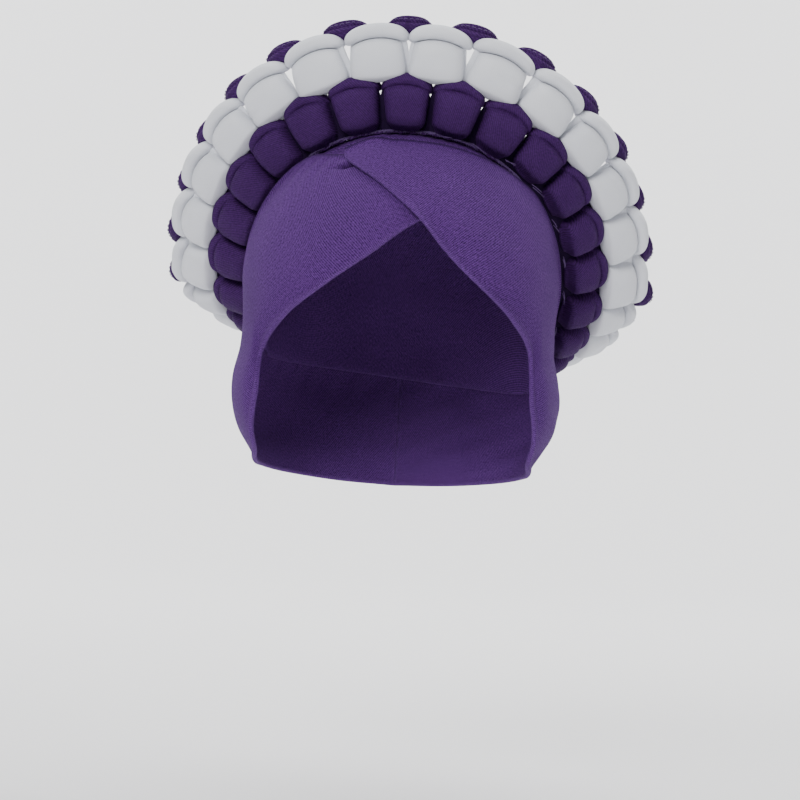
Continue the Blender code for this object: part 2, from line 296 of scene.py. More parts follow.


# Closed cloth from a grid: both sides and rounded rims, without the first rim at a pole.
# paintedShade darkens the outer side with painted shade, from 0 to 1
def clothShell(name, middle, normals, halfThick, uvs, material, closedAcross, rimSteps=5, pole=False,
               paintedShade=None):
    rows, columns = middle.shape[:2]
    thick = halfThick[..., None]
    paintedShade = np.zeros((rows, columns)) if paintedShade is None else paintedShade
    sections, sectionUvs, sectionShade = list(middle + thick * normals), list(uvs), list(paintedShade)

    def rim(row, neighbour, side):
        away = unit(middle[row] - middle[neighbour])
        onward = unit(uvs[row] - uvs[neighbour])
        for step in range(1, rimSteps):
            angle = math.pi * step / rimSteps
            turned = angle if side > 0.0 else math.pi - angle
            bend = math.cos(angle) * side * normals[row] + math.sin(angle) * away
            sections.append(middle[row] + thick[row] * bend)
            sectionUvs.append(uvs[row] + thick[row] * turned * onward)
            sectionShade.append(paintedShade[row])

    rim(rows - 1, rows - 2, 1.0)
    sections.extend((middle - thick * normals)[::-1])
    sectionUvs.extend(uvs[::-1])
    sectionShade.extend(np.zeros((rows, columns)))
    if not pole:
        rim(0, 1, -1.0)
    ring = len(sections)
    faces = gridFaces(ring, columns, closedAcross, closedDown=True)
    if not closedAcross:
        faces.extend(tuple(range(edge, ring * columns, columns)) for edge in (0, columns - 1))
    return makeMesh(name, np.stack(sections), faces, material, np.stack(sectionUvs), np.stack(sectionShade))


# Knit and thread materials

# Link a socket to another one, or set its value
def feed(socket, source):
    if isinstance(source, bpy.types.NodeSocket):
        socket.id_data.links.new(source, socket)
    elif isinstance(source, tuple):
        socket.default_value = (*source, 1.0)
    elif source is not None:
        socket.default_value = source


def addNode(tree, kind, settings=None, inputs=None):
    node = tree.nodes.new(kind)
    for key, value in (settings or {}).items():
        setattr(node, key, value)
    for key, source in (inputs or {}).items():
        feed(node.inputs[key], source)
    return node


def mathNode(tree, operation, first, second=None, clamp=False):
    settings = {"operation": operation, "use_clamp": clamp}
    return addNode(tree, "ShaderNodeMath", settings, {0: first, 1: second}).outputs[0]


def times(tree, first, second):
    return mathNode(tree, "MULTIPLY", first, second)


def mixColour(tree, share, first, second):
    inputs = {0: share, 6: first, 7: second}
    return addNode(tree, "ShaderNodeMix", {"data_type": "RGBA"}, inputs).outputs[2]


def noise(tree, place, scale, detail, roughness=0.5):
    inputs = {"Vector": place, "Scale": scale, "Detail": detail, "Roughness": roughness}
    return addNode(tree, "ShaderNodeTexNoise", None, inputs).outputs["Fac"]


def mapRange(tree, value, limits):
    inputs = {"Value": value, "From Min": limits[0], "From Max": limits[1]}
    return addNode(tree, "ShaderNodeMapRange", None, inputs).outputs["Result"]


# Node group with its end nodes; an input without a value is a vector
def newGroup(name, inputs, outputs):
    tree = bpy.data.node_groups.new(name, "ShaderNodeTree")
    for label, value in inputs.items():
        kind = "NodeSocketVector" if value is None else "NodeSocketFloat"
        socket = tree.interface.new_socket(name=label, in_out="INPUT", socket_type=kind)
        if value is not None:
            socket.default_value = value
    for label in outputs:
        tree.interface.new_socket(name=label, in_out="OUTPUT", socket_type="NodeSocketFloat")
    return tree, addNode(tree, "NodeGroupInput"), addNode(tree, "NodeGroupOutput")


def newMaterial(name):
    material = bpy.data.materials.new(name)
    material.use_nodes = True
    return material, material.node_tree, material.node_tree.nodes["Principled BSDF"]


knitPattern = {
    "bendScale": 90.0,  # slow bends of the ribs
    "bend": 1.6,
    "slants": (0.72, 1.35),
    "ribs": (0.24, 0.14),
    "fuzzScale": 900.0,
    "grooveRough": 0.1,
    "wornRough": 0.05,
    "relief": 0.0003,
    "sheenRough": 0.45,
}
# slow dye changes, and the range of raised folds that get a painted highlight
dyeAndHighlightPattern = {
    "scale": 22.0,
    "dyeRange": (0.3, 0.7),
    "raisedRange": (0.49, 0.56),
}


# Fine double knit: slanted ribs crossed by rows, as a height and a mask of painted shade in the grooves
def makeKnitGroup():
    tree, source, sink = newGroup("fineKnit", {"Cloth": None, "Pitch": 0.0009, "Uneven": 0.35},
                                  ("Height", "Shade"))
    cloth = source.outputs["Cloth"]
    bent = times(tree, noise(tree, cloth, knitPattern["bendScale"], 2.0), knitPattern["bend"])
    split = addNode(tree, "ShaderNodeSeparateXYZ", None, {0: cloth})
    pace = mathNode(tree, "DIVIDE", math.tau, source.outputs["Pitch"])
    across = times(tree, split.outputs["X"], pace)
    along = times(tree, split.outputs["Y"], pace)
    rising, falling = [times(tree, along, slant) for slant in knitPattern["slants"]]
    slantOne = mathNode(tree, "ADD", mathNode(tree, "ADD", across, rising), bent)
    slantTwo = mathNode(tree, "SUBTRACT", across, falling)
    ribs = [times(tree, mathNode(tree, "SINE", slant), share)
            for slant, share in zip((slantOne, slantTwo), knitPattern["ribs"])]
    fuzz = mathNode(tree, "SUBTRACT", noise(tree, cloth, knitPattern["fuzzScale"], 4.0, 0.75), 0.5)
    rough = times(tree, fuzz, source.outputs["Uneven"])
    weave = mathNode(tree, "ADD", mathNode(tree, "ADD", *ribs), 0.5)
    height = mathNode(tree, "ADD", weave, rough, clamp=True)
    feed(sink.inputs["Height"], height)
    feed(sink.inputs["Shade"], mathNode(tree, "SUBTRACT", 1.0, height, clamp=True))
    return tree


# Slow changes of dye over the piece, and a mask of the raised folds that get a painted highlight
def makeDyeAndHighlightGroup():
    tree, source, sink = newGroup("dyeAndPaintedHighlight", {"Place": None}, ("Dye", "Raised"))
    slow = noise(tree, source.outputs["Place"], dyeAndHighlightPattern["scale"], 3.0, 0.55)
    form = addNode(tree, "ShaderNodeNewGeometry")
    feed(sink.inputs["Dye"], mapRange(tree, slow, dyeAndHighlightPattern["dyeRange"]))
    feed(sink.inputs["Raised"], mapRange(tree, form.outputs["Pointiness"], dyeAndHighlightPattern["raisedRange"]))
    return tree


knitGroup = makeKnitGroup()
dyeAndHighlightGroup = makeDyeAndHighlightGroup()


# Knit cloth: dyed colour, painted shade in the grooves, a painted highlight on raised folds and painted shade
# in creases and gaps, and its bump
def makeKnit(name, look):
    material, tree, shader = newMaterial(name)
    clothMap = addNode(tree, "ShaderNodeUVMap", {"uv_map": "clothUv"})
    place = addNode(tree, "ShaderNodeTexCoord")
    # painted shade: foldShade darkens the colour towards the shadow colour in creases, gaps and along folds
    crease = addNode(tree, "ShaderNodeAttribute", {"attribute_name": "foldShade"})
    knit = addNode(tree, "ShaderNodeGroup", {"node_tree": knitGroup},
                   {"Cloth": clothMap.outputs["UV"], "Pitch": look["pitch"], "Uneven": look["fuzz"]})
    dyeAndHighlight = addNode(tree, "ShaderNodeGroup", {"node_tree": dyeAndHighlightGroup}, {"Place": place.outputs["Object"]})
    dyed = mixColour(tree, dyeAndHighlight.outputs["Dye"], look["deep"], look["main"])
    # painted shade: the grooves of the knit darken towards the shadow colour
    groove = times(tree, knit.outputs["Shade"], look["groove"])
    ribbed = mixColour(tree, groove, dyed, look["shadow"])
    # painted highlight: raised folds turn paler towards the light colour
    paintedHighlight = times(tree, dyeAndHighlight.outputs["Raised"], look["paintedHighlight"])
    highlighted = mixColour(tree, paintedHighlight, ribbed, look["light"])
    grooveRough = times(tree, knit.outputs["Shade"], knitPattern["grooveRough"])
    wornRough = times(tree, dyeAndHighlight.outputs["Raised"], knitPattern["wornRough"])
    rough = mathNode(tree, "ADD", look["rough"], grooveRough)
    bump = addNode(tree, "ShaderNodeBump", None, {
        "Strength": look["bump"], "Distance": knitPattern["relief"], "Height": knit.outputs["Height"]})
    inputs = {
        "Base Color": mixColour(tree, crease.outputs["Fac"], highlighted, look["shadow"]),
        "Roughness": mathNode(tree, "SUBTRACT", rough, wornRough, clamp=True),
        "Normal": bump.outputs["Normal"],
        "Sheen Weight": look["sheen"],
        "Sheen Roughness": knitPattern["sheenRough"],
        "Sheen Tint": look["light"],
        "Specular IOR Level": look["gloss"],
    }
    for key, source in inputs.items():
        feed(shader.inputs[key], source)
    return material


# Change these to dye the cloth another colour; shadow is the painted shade colour in grooves and creases,
# light the painted highlight colour on raised folds and also the sheen tint
knitLooks = {
    "capKnit": {
        "main": (0.142, 0.049, 0.262), "deep": (0.117, 0.039, 0.222), "shadow": (0.012, 0.002, 0.03),
        "light": (0.24, 0.13, 0.4), "groove": 1.0, "paintedHighlight": 0.1, "pitch": 0.00118, "fuzz": 2.0,
        "rough": 0.8, "bump": 0.8, "sheen": 0.015, "gloss": 0.1,
    },
    "purpleLoopKnit": {
        "main": (0.064, 0.015, 0.122), "deep": (0.051, 0.011, 0.099), "shadow": (0.006, 0.001, 0.016),
        "light": (0.12, 0.055, 0.21), "groove": 0.85, "paintedHighlight": 0.12, "pitch": 0.00118, "fuzz": 1.8,
        "rough": 0.72, "bump": 0.7, "sheen": 0.02, "gloss": 0.13,
    },
    "whiteLoopKnit": {
        "main": (0.73, 0.742, 0.785), "deep": (0.68, 0.694, 0.745), "shadow": (0.44, 0.455, 0.51),
        "light": (0.79, 0.8, 0.825), "groove": 0.22, "paintedHighlight": 0.1, "pitch": 0.00095, "fuzz": 0.8,
        "rough": 0.68, "bump": 0.24, "sheen": 0.03, "gloss": 0.2,
    },
    "tapeCloth": {
        "main": (0.052, 0.014, 0.096), "deep": (0.034, 0.008, 0.066), "shadow": (0.005, 0.001, 0.013),
        "light": (0.095, 0.04, 0.16), "groove": 0.6, "paintedHighlight": 0.08, "pitch": 0.0015, "fuzz": 0.5,
        "rough": 0.85, "bump": 0.6, "sheen": 0.01, "gloss": 0.08,
    },
    "sewingThread": {
        "main": (0.15, 0.085, 0.24), "deep": (0.06, 0.022, 0.115), "shadow": (0.016, 0.004, 0.04),
        "light": (0.3, 0.22, 0.42), "groove": 0.5, "paintedHighlight": 0.1, "pitch": 0.0006, "fuzz": 0.5,
        "rough": 0.6, "bump": 0.6, "sheen": 0.02, "gloss": 0.2,
    },
}
capKnit, purpleLoopKnit, whiteLoopKnit, tapeCloth, sewingThread = [
    makeKnit(name, look) for name, look in knitLooks.items()]
print("materials made")


# The piece stands for a solid of the frame and goes with the head tie
def hand(piece, node):
    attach(piece, "root")
    if node:
        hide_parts(node)
    return piece


# Crown of the stretch cap

crownLook = {
    "columns": 300,
    "rows": 90,
    "wrinkle": 0.00022,
    "seamBelow": 0.0075,  # seam under the tape, along the front
    "seamDepth": 0.0007,
    "seamWidth": 0.0011,
    "gathers": 118.0,  # small gathers round the seam
    "gatherReach": 0.004,
    "firstRow": 0.0003,  # share of the way down at the pole
    "rowPower": 1.7,
    "clothShare": 0.75,  # cloth length against the length on the dome
}


def buildCrown():
    look = crownLook
    columns, rows = look["columns"], look["rows"]
    turns = np.linspace(0.0, 360.0, columns, endpoint=False)
    fronts = np.maximum(np.cos(np.radians(turns)), 0.0)
    laps = capSizes["napeLap"] + (capSizes["browLap"] - capSizes["napeLap"]) * fronts
    bottoms = ringDrop(turns, -laps)
    shares = np.linspace(look["firstRow"], 1.0, rows)[:, None] ** look["rowPower"]
    drops = bottoms[None, :] * shares
    turnGrid = np.broadcast_to(turns, drops.shape)
    points = capPlace(turnGrid, drops)
    normals = capNormal(turnGrid, drops)
    belowTape = -((points - ringMiddle) @ ringAxis)
    points = capShift(points, drops)
    seam = bell(belowTape - look["seamBelow"], look["seamWidth"])
    angle = np.radians(turnGrid)
    gather = np.sin(angle * look["gathers"] + 2.0 * np.sin(angle * 9.0))
    nearSeam = bell(belowTape - look["seamBelow"], look["gatherReach"])
    relief = look["wrinkle"] * (
        ripple(turnGrid * 0.11, drops * 60.0, 3) * 1.6 + gather * nearSeam * 0.6
    ) - look["seamDepth"] * seam
    fade = ease(0.0, 0.01, drops)
    half = capSizes["cloth"] / 2.0
    middle = points + (relief * fade - half)[..., None] * normals
    reach = look["clothShare"] * runLength(points)
    uvs = np.stack([reach * np.sin(angle), -reach * np.cos(angle)], -1)
    item = clothShell("capCrown", middle, normals, np.full(drops.shape, half), uvs, capKnit, True,
                      pole=True)
    return hand(item, "cap_crown")


capCrown = buildCrown()
print("crown built")


# Front wraps

# top turn, below ring, edge turn, edge drop, lift
underWrapRows = (
    (44.0, 0.13, 39.0, 0.22, 0.0), (24.0, 0.17, 21.0, 0.28, 0.0),
    (5.0, 0.168, 5.4, 0.314, 0.0), (-12.0, 0.135, -9.1, 0.418, 0.0),
    (-26.0, 0.16, -24.0, 0.515, 0.0), (-46.0, 0.085, -39.0, 0.6, 0.0),
    (-62.0, 0.05, -52.0, 0.695, 0.0), (-74.0, 0.05, -53.0, 0.81, 0.0),
    (-88.0, 0.05, -61.0, 0.965, 0.0), (-106.0, 0.05, -80.0, 1.015, 0.0),
    (-124.0, 0.05, -105.0, 1.035, 0.0), (-142.0, 0.05, -131.0, 1.058, 0.0),
    (-161.0, 0.05, -156.0, 1.077, 0.0), (-180.0, 0.05, -180.0, 1.085, 0.0),
)
overWrapRows = (
    (-25.8, 0.152, -24.4, 0.158, 1.0), (-17.5, 0.121, -15.4, 0.192, 1.0),
    (-5.4, 0.118, -6.8, 0.232, 1.0), (10.7, 0.118, 5.4, 0.314, 1.0),
    (30.7, 0.11, 20.0, 0.45, 1.0), (50.0, 0.088, 39.4, 0.58, 1.0),
    (64.0, 0.05, 51.2, 0.671, 0.7), (76.0, 0.05, 53.5, 0.81, 0.3),
    (88.0, 0.05, 64.0, 0.975, 0.0), (106.0, 0.05, 82.0, 1.015, 0.0),
    (124.0, 0.05, 106.0, 1.035, 0.0), (142.0, 0.05, 131.0, 1.058, 0.0),
    (161.0, 0.05, 156.0, 1.077, 0.0), (180.0, 0.05, 180.0, 1.085, 0.0),
)
wrapLook = {
    "columns": 300,
    "rows": 84,
    "cloth": 0.0018,
    "lift": 0.0015,  # over the crown
    "overlapLift": 0.0022,  # of the over wrap, over the under one
    "edgeRoll": 0.0005,  # extra half thickness along the folded edges
    "rollWidth": 0.0022,
    "wrinkle": 0.0003,
    "faceTuck": 0.0034,  # the free edges hug the face
    "tuckWidth": 0.009,
    "topHug": 0.2,  # share of the lift lost at the top edge
    "topRoll": 1.5,  # the fold there against the one at the free edge
    "topShade": 0.9,  # depth and width of the painted shade line along it
    "topLine": 0.0013,
    "underShade": 0.7,  # share of that depth on the under wrap
    "topStep": 0.6,  # share of the overlap's lift lost at the top edge
    "seamTurn": 180.2,  # both wraps meet just past the middle of the back
    "closeRows": 0.35,  # how far the rows crowd at both edges
}
# the short pinched fold of the under wrap beside the crossing, with a ridge above it and painted shade in the
# fold
pinchLook = {
    "turn": -22.0,
    "length": 5.0,
    "down": 0.008,
    "slope": 0.00012,
    "width": 0.0014,
    "depth": 0.0036,
    "shade": 0.75,
    "ridgeLength": 6.0,
    "ridgeDown": 0.0046,
    "ridgeWidth": 0.0018,
    "ridge": 0.0015,
}
# drag folds: arcs round the crossing on the under wrap, slanted lines on the other
dragLook = {
    "centre": (-24.0, 0.035),  # turn and drop
    "turnLength": 0.0013,  # of one degree
    "arcPace": 620.0,
    "arc": 0.00042,
    "arcReach": 0.022,
    "slant": 0.55,
    "linePace": 0.42,
    "line": 0.00016,
}


def pinchMask(turns, down):
    along = turns - pinchLook["turn"]
    away = down - pinchLook["down"] - pinchLook["slope"] * along
    return bell(along, pinchLook["length"]) * bell(away, pinchLook["width"])


def pinchRidge(turns, down):
    ridge = bell(turns - pinchLook["turn"], pinchLook["ridgeLength"])
    return ridge * bell(down - pinchLook["ridgeDown"], pinchLook["ridgeWidth"])


# Soft drag folds of a wrap, by where it is pulled from
def foldRelief(name, turns, drops, down, toEdge, seed):
    look = dragLook
    calm = ease(0.0, 0.006, toEdge) * ease(0.0, 0.004, down)
    relief = wrapLook["wrinkle"] * ripple(turns * 0.1, drops * 75.0, seed)
    if name == "wrapUnder":
        centreTurn, centreDrop = look["centre"]
        pull = np.hypot((turns - centreTurn) * look["turnLength"], drops - centreDrop)
        arcs = np.sin(pull * look["arcPace"] + 1.4 * np.sin(turns * 0.11))
        near = bell(down, look["arcReach"]) * ease(-20.0, -34.0, turns)
        relief = relief + look["arc"] * arcs * near
        relief = relief - pinchLook["depth"] * pinchMask(turns, down)
        relief = relief + pinchLook["ridge"] * pinchRidge(turns, down)
    else:
        along = (drops * 1000.0 - turns * look["slant"]) * look["linePace"]
        lines = np.sin(along + 0.6 * np.sin(turns * 0.09))
        relief = relief + look["line"] * lines * ease(0.0, 22.0, turns)
    return relief * calm


def buildWrap(name, table, seed, node):
    look = wrapLook
    columns, rows = look["columns"], look["rows"]
    topTurn, belowRing, edgeTurn, edgeDrop, lift = spreadTable(table, columns)
    seamTurn = look["seamTurn"]
    topTurn = np.clip(topTurn, -seamTurn, seamTurn)
    edgeTurn = np.clip(edgeTurn, -seamTurn, seamTurn)
    topDrop = ringDrop(topTurn, -belowRing * capSizes["drop"])
    shares = np.linspace(0.0, 1.0, rows)[:, None]
    crowd = look["closeRows"]
    shares = 0.5 - 0.5 * np.cos(math.pi * shares) * crowd - 0.5 * (1.0 - 2.0 * shares) * (1.0 - crowd)
    turns = topTurn + (edgeTurn - topTurn) * shares
    drops = topDrop + (edgeDrop * capSizes["drop"] - topDrop) * shares
    points = capShift(capPlace(turns, drops), drops)
    normals = capNormal(turns, drops)
    downLength = runLength(points)
    toEdge = downLength[-1] - downLength
    sideLength = runLength(points[rows // 2])
    edgeRoll = bell(toEdge, look["rollWidth"])
    topRoll = bell(downLength, look["rollWidth"])
    relief = foldRelief(name, turns, drops, downLength, toEdge, seed)
    roll = np.maximum(edgeRoll, topRoll * look["topRoll"])
    half = look["cloth"] / 2.0 + look["edgeRoll"] * roll
    free = ease(4.0, 14.0, edgeTurn) if name == "wrapOver" else 1.0
    hold = free * ease(0.96, 0.8, edgeDrop) * bell(toEdge, look["tuckWidth"])
    relief = relief - look["faceTuck"] * hold
    # the top edges lie close on the crown, except where the over wrap starts
    close = ease(-15.0, -6.0, topTurn) if name == "wrapOver" else 1.0
    hug = 1.0 - look["topHug"] * close * ease(0.009, 0.0, downLength)
    step = 1.0 - look["topStep"] * close * ease(0.007, 0.0, downLength)
    height = look["lift"] * hug + lift * look["overlapLift"] * step + half + relief
    # painted shade: a dark line along the top fold, and in the under wrap's pinched fold
    shade = look["topShade"] * bell(downLength, look["topLine"])
    shade = shade * ease(100.0, 60.0, np.abs(topTurn))
    if name == "wrapUnder":
        pinchShade = pinchLook["shade"] * pinchMask(turns, downLength)
        shade = np.maximum(shade * look["underShade"], pinchShade)
    middle = points + height[..., None] * normals
    uvs = np.stack([np.broadcast_to(sideLength, drops.shape), downLength], -1)
    if table[-1][0] < 0.0:
        middle, normals, half, uvs, shade = [grid[:, ::-1] for grid in (middle, normals, half, uvs, shade)]
    item = clothShell(name, middle, normals, half, uvs, capKnit, False, paintedShade=shade)
    return hand(item, node)


wrapUnder = buildWrap("wrapUnder", underWrapRows, 11, "wrap_under")
wrapOver = buildWrap("wrapOver", overWrapRows, 12, "wrap_over")
print("wraps built")


# Tape that carries the loops, with its overcast edge

tapeLook = {
    "columns": 720,
    "rows": 14,
    "width": 0.011,
    "thickness": 0.001,
    "lift": 0.0007,
    "set": 0.0034,  # of its middle above the ring line, towards the crown
    "stitchPitch": 0.0017,
    "threadRadius": 0.00024,
    "edgeWave": 0.0006,  # small waves of both edges
    "waves": 47.0,
    "buckle": 0.00025,
    "buckles": 130.0,
    "zigzag": (-0.006, -0.0028),  # reach of the overcast stitches, from the middle
    "chains": ((-0.003, 1.0), (-0.004, 2.4)),  # level and phase
    "looseEnds": 16,
    "looseTurns": 75.0,  # to both sides of the front
    "gapStitches": 2,  # in each gap, between these two loops
    "gapLoops": (2, 11),
}


def buildTape():
    look = tapeLook
    columns, rows = look["columns"], look["rows"]
    turns = np.linspace(0.0, 360.0, columns, endpoint=False)
    levels = np.linspace(0.5, -0.5, rows)[:, None] * look["width"]
    wave = look["edgeWave"] * np.sin(np.radians(turns) * look["waves"])
    levels = levels + wave * np.sign(levels)
    turnGrid = np.broadcast_to(turns, levels.shape)
    drops = ringDrop(turnGrid, levels + look["set"])
    half = np.full(drops.shape, look["thickness"] / 2.0)
    buckle = look["buckle"] * np.sin(np.radians(turnGrid) * look["buckles"])
    buckle = buckle * (np.abs(levels) / look["width"] * 2.0)
    middle = overCap(turnGrid, drops, look["lift"] + half + buckle)
    uvs = np.stack([turnGrid / 360.0 * ringLength, levels], -1)
    item = clothShell("haloTape", middle, capNormal(turnGrid, drops), half, uvs, tapeCloth, True, 4)
    return hand(item, "halo_tape")


# Directions at angles round a line
def roundAbout(angles, first, second):
    return (np.cos(angles)[None, :, None] * first[:, None]
            + np.sin(angles)[None, :, None] * second[:, None])


# One mesh of thin round threads along rows of points
def threadTube(name, lines, radius, sides=5):
    allPoints, allUvs, faces, start = [], [], [], 0
    for line in lines:
        line = np.asarray(line)
        tangent = unit(np.gradient(line, axis=0))
        helper = np.where(np.abs(tangent[:, 2:3]) < 0.9, [[0.0, 0.0, 1.0]], [[1.0, 0.0, 0.0]])
        first = unit(np.cross(tangent, helper))
        second = np.cross(tangent, first)
        angles = np.linspace(0.0, math.tau, sides, endpoint=False)
        points = line[:, None] + radius * roundAbout(angles, first, second)
        uv = np.stack(np.broadcast_arrays(runLength(line)[:, None], radius * angles[None, :]), -1)
        allPoints.append(points.reshape(-1, 3))
        allUvs.append(uv.reshape(-1, 2))
        faces.extend(gridFaces(len(line), sides, True, start))
        faces.append(tuple(start + side for side in range(sides)))
        faces.append(tuple(start + (len(line) - 1) * sides + side for side in reversed(range(sides))))
        start += len(line) * sides
    return makeMesh(name, np.concatenate(allPoints), faces, sewingThread, np.concatenate(allUvs))


# Short stitches between the feet of the purple loops, seen on the viewer's right
def gapStitches():
    dice = np.random.default_rng(77)
    lines = []
    for number in range(*tapeLook["gapLoops"]):
        for strand in range(tapeLook["gapStitches"]):
            share = (number + 0.5 + ringSizes["turn"] + dice.normal(0.0, 0.05)) / ringSizes["loops"]
            start = dice.uniform(0.0006, 0.0022)
            out = np.linspace(start, start + dice.uniform(0.0004, 0.002), 6)
            shares = share + np.linspace(-0.5, 0.5, 6) * dice.uniform(0.009, 0.015)
            bow = 0.0006 * np.sin(np.linspace(0.0, math.pi, 6))
            lines.append(haloPoint(shares, out, 0.0036 + 0.0003 * strand + bow))
    return lines


# Overcast stitches over the tape's face side edge, two chains along them and loose ends
def buildTapeThreads():
    look = tapeLook
    count = int(ringLength / look["stitchPitch"])
    steps = np.arange(count * 6 + 1) / 6.0
    turns = steps / count * 360.0
    swing = np.abs(np.mod(steps, 1.0) * 2.0 - 1.0)
    low, high = look["zigzag"]
    reach = low + (high - low) * ease(0.0, 1.0, swing)
    wobble = 0.0003 * np.sin(steps * 1.7) + 0.0002 * np.sin(steps * 0.61)
    drops = ringDrop(turns, reach + wobble + look["set"])
    height = look["lift"] + look["thickness"] * (0.4 + 0.9 * ease(0.0, 0.6, swing))
    lines = [overCap(turns, drops, height)]
    for level, phase in look["chains"]:
        turnRow = np.linspace(0.0, 359.7, 900)
        rise = look["lift"] + look["thickness"] + 0.0002 + 0.0001 * np.sin(turnRow * 9.0 + phase)
        level = level + look["set"] + 0.00025 * np.sin(turnRow * 5.1 + phase)
        lines.append(overCap(turnRow, ringDrop(turnRow, level), rise))
    dice = np.random.default_rng(21)
    for turn in dice.uniform(-look["looseTurns"], look["looseTurns"], look["looseEnds"]):
        span = np.linspace(0.0, 1.0, 12)
        length = dice.uniform(4.0, 9.0)
        turnRow = turn + span * length * dice.choice([-1.0, 1.0])
        level = -0.003 - 0.0026 * np.sin(span * math.pi * dice.uniform(0.8, 1.6))
        rise = 0.0018 + 0.0014 * np.sin(span * math.pi)
        lines.append(overCap(turnRow, ringDrop(turnRow, level), rise))
    lines.extend(gapStitches())
    item = threadTube("tapeStitches", lines, look["threadRadius"])
    return hand(item, None)


haloTape = buildTape()
tapeStitches = buildTapeThreads()
print("tape built")


# Padded loops of the halo

loopLook = {
    "rings": 34,
    "columns": 44,
    "squareness": 2.8,  # of a level cut through a loop
    "bodyArch": (0.05, 0.1),  # rise of a body's top in its middle, as a share of the length
    "collarArch": (0.14, 0.13),
    "footArch": (0.08, 0.05),
    "sideSeat": 0.06,  # the middle loops start further out at the sides
    "sideFill": 0.18,  # the rear layers close the gaps there
    "frontGap": (0.05, -0.05),  # and leave small ones at the top
    "gapShade": 0.85,  # painted shade of the purple cloth deep in the gaps
    "sideReach": 0.13,  # the purple rear layers are longer at the sides
    "bareTape": 0.16,  # the purple bodies start further out on the viewer's right
    "tilt": 0.022,  # spread of lean and of sizes from loop to loop
    "wander": 0.018,
    "soft": (0.012, 0.01, 0.006),  # unevenness of body, collar and rear layer
    "pucker": (0.012, 0.014, 0.0),  # small pleats under the collar
    "sewn": 0.01,  # and at the foot
    "crossCrease": 0.045,  # one crease across every third white body
    "backShift": 0.022,  # of the rear layer to one side, as a share of the loop space
}
# length, half width, front, back as shares of the loop's length, the loop space and the depth
innerBody = (
    (-0.055, 0.3, 0.1, 0.05), (-0.01, 0.36, 0.2, 0.1), (0.03, 0.41, 0.4, 0.14),
    (0.075, 0.43, 0.57, 0.17), (0.2, 0.438, 0.66, 0.19), (0.42, 0.446, 0.69, 0.2),
    (0.62, 0.452, 0.67, 0.2), (0.725, 0.448, 0.57, 0.2), (0.785, 0.432, 0.4, 0.18),
    (0.802, 0.4, 0.2, 0.14),
)
middleBody = (
    (-0.06, 0.33, 0.16, 0.04), (-0.035, 0.42, 0.33, 0.08), (0.005, 0.47, 0.51, 0.13),
    (0.06, 0.484, 0.61, 0.16), (0.2, 0.478, 0.67, 0.18), (0.38, 0.456, 0.69, 0.18),
    (0.54, 0.432, 0.67, 0.18), (0.65, 0.414, 0.57, 0.18), (0.702, 0.396, 0.4, 0.16),
    (0.718, 0.365, 0.2, 0.12),
)
rearLayer = (
    (-0.07, 0.52, -0.015, 0.055), (-0.015, 0.54, -0.03, 0.11), (0.07, 0.542, -0.03, 0.23),
    (0.28, 0.54, 0.0, 0.34), (0.54, 0.53, 0.02, 0.38), (0.74, 0.512, 0.05, 0.38),
    (0.92, 0.45, 0.05, 0.3),
)
whiteRearLayer = (
    (-0.06, 0.4, -0.04, 0.22), (0.03, 0.5, 0.02, 0.31), (0.24, 0.51, 0.05, 0.36),
    (0.46, 0.496, 0.08, 0.38), (0.66, 0.456, 0.1, 0.38), (0.84, 0.39, 0.08, 0.3),
)
# half width, thickness along the length, depth, middle and place to the face of the collar
innerCollar = (0.506, 0.124, 0.48, 0.868, 0.0)
middleCollar = (0.506, 0.138, 0.53, 0.85, 0.02)


def rollSection(angles, power):
    across = np.sign(np.cos(angles)) * np.abs(np.cos(angles)) ** (2.0 / power)
    depth = np.sign(np.sin(angles)) * np.abs(np.sin(angles)) ** (2.0 / power)
    return across, depth


# Rings of a padded layer from its sewn end up: side, length and depth shares
def pillowGrid(table, archTop, archEnd, lift=0.0):
    rings, columns = loopLook["rings"], loopLook["columns"]
    length, halfWidth, front, back = spreadTable(table, rings)
    angles = np.linspace(0.0, math.tau, columns, endpoint=False)
    across, depth = rollSection(angles, loopLook["squareness"])
    side = halfWidth[:, None] * across
    forward = np.where(depth > 0.0, front[:, None], back[:, None]) * depth
    bow = (side / 0.43) ** 2
    out = length[:, None] - archTop * bow * ease(0.15, 0.75, length)[:, None]
    out = out + archEnd * bow * ease(0.32, 0.0, length)[:, None]
    out = out + lift * ease(0.4, 0.0, out)
    return side, out, forward


# Rings of the rolled collar, from one side to the other
def collarGrid(form, arch):
    halfWidth, thick, depthShare, height, place = form
    rings, columns = loopLook["rings"], loopLook["columns"]
    lean = np.linspace(-1.0, 1.0, rings)
    reach = np.sin(lean * math.pi / 2.0)
    swell = np.maximum(1.0 - np.abs(reach) ** 5.0, 0.0) ** (1.0 / 2.4)
    swell = np.maximum(swell, 0.05)
    angles = np.linspace(0.0, math.tau, columns, endpoint=False)
    upward, depth = rollSection(angles, 2.25)
    side = np.broadcast_to((halfWidth * reach)[:, None], (rings, columns))
    out = height - arch * (reach**2)[:, None] + thick * swell[:, None] * upward
    forward = place - 0.22 * (reach**4)[:, None] + depthShare * swell[:, None] * depth
    return side, out, forward


